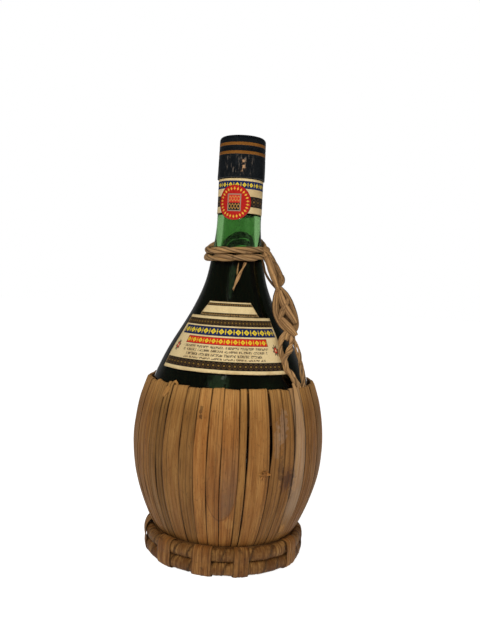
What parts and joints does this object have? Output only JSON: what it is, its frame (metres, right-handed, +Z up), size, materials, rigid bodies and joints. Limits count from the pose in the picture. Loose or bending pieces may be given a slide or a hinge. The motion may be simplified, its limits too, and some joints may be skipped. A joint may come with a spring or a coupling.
{
  "type": "chianti fiasco bottle",
  "caption": "Corked round-bottomed glass wine bottle in a casing of upright straw leaves, with a straw foot ring, paper labels and a plaited carry strap.",
  "frame": {"origin": "on the ground, under the middle of the casing and foot ring", "axes": "+Z up along the neck; the labels face -Y; the carry strap hangs on the +X side towards -Y"},
  "size_m": [0.1202, 0.1202, 0.2628],
  "materials": {
    "green_glass": "gloss",
    "red_wine": "gloss",
    "cork_bark": "matte",
    "capsule_foil": "satin",
    "label_paper": "matte",
    "seal_paper": "matte",
    "twisted_leaf": "matte",
    "dry_leaf": "satin",
    "straw_rope": "matte"
  },
  "bodies": {
    "bottle": {"glass_bottle": "green_glass", "wine": "red_wine", "neck_label": "label_paper", "vintage_label": "label_paper", "shoulder_label": "label_paper", "seal_sticker": "seal_paper", "neck_cord": "twisted_leaf", "loose_ends": "twisted_leaf", "rim_hoop": "straw_rope", "base_pad": "straw_rope", "foot_coil": "straw_rope", "foot_ties": "dry_leaf", "strap_bundle": "twisted_leaf", "strap_plait": "twisted_leaf", "strap_cord_front": "twisted_leaf", "strap_cord_rear": "twisted_leaf", "casing_leaf_01": "dry_leaf", "casing_leaf_02": "dry_leaf", "casing_leaf_03": "dry_leaf", "casing_leaf_04": "dry_leaf", "casing_leaf_05": "dry_leaf", "casing_leaf_06": "dry_leaf", "casing_leaf_07": "dry_leaf", "casing_leaf_08": "dry_leaf", "casing_leaf_09": "dry_leaf", "casing_leaf_10": "dry_leaf", "casing_leaf_11": "dry_leaf", "casing_leaf_12": "dry_leaf", "casing_leaf_13": "dry_leaf", "casing_leaf_14": "dry_leaf", "casing_leaf_15": "dry_leaf", "casing_leaf_16": "dry_leaf", "casing_leaf_17": "dry_leaf", "casing_leaf_18": "dry_leaf", "casing_leaf_19": "dry_leaf", "casing_leaf_20": "dry_leaf", "casing_leaf_21": "dry_leaf", "casing_leaf_22": "dry_leaf", "casing_leaf_23": "dry_leaf", "casing_leaf_24": "dry_leaf", "casing_leaf_25": "dry_leaf", "casing_leaf_26": "dry_leaf", "casing_leaf_27": "dry_leaf", "casing_leaf_28": "dry_leaf", "casing_leaf_29": "dry_leaf", "casing_leaf_30": "dry_leaf", "casing_leaf_31": "dry_leaf", "casing_leaf_32": "dry_leaf", "casing_leaf_33": "dry_leaf", "casing_leaf_34": "dry_leaf", "casing_leaf_35": "dry_leaf", "casing_leaf_36": "dry_leaf", "casing_leaf_37": "dry_leaf", "casing_leaf_38": "dry_leaf", "casing_leaf_39": "dry_leaf", "casing_leaf_40": "dry_leaf"},
    "capsule": {"capsule": "capsule_foil"},
    "cork": {"cork": "cork_bark"}
  },
  "joints": [
    {"name": "capsule_lift", "type": "slide", "parent": "bottle", "child": "capsule", "axis": [0, 0, 1], "range_m": [0, 0.11]},
    {"name": "cork_pull", "type": "slide", "parent": "bottle", "child": "cork", "axis": [0, 0, 1], "range_m": [0, 0.055]}
  ],
  "couplings": [
    {"joint": "cork_pull", "follows": "capsule_lift", "ratio": 0.5}
  ]
}
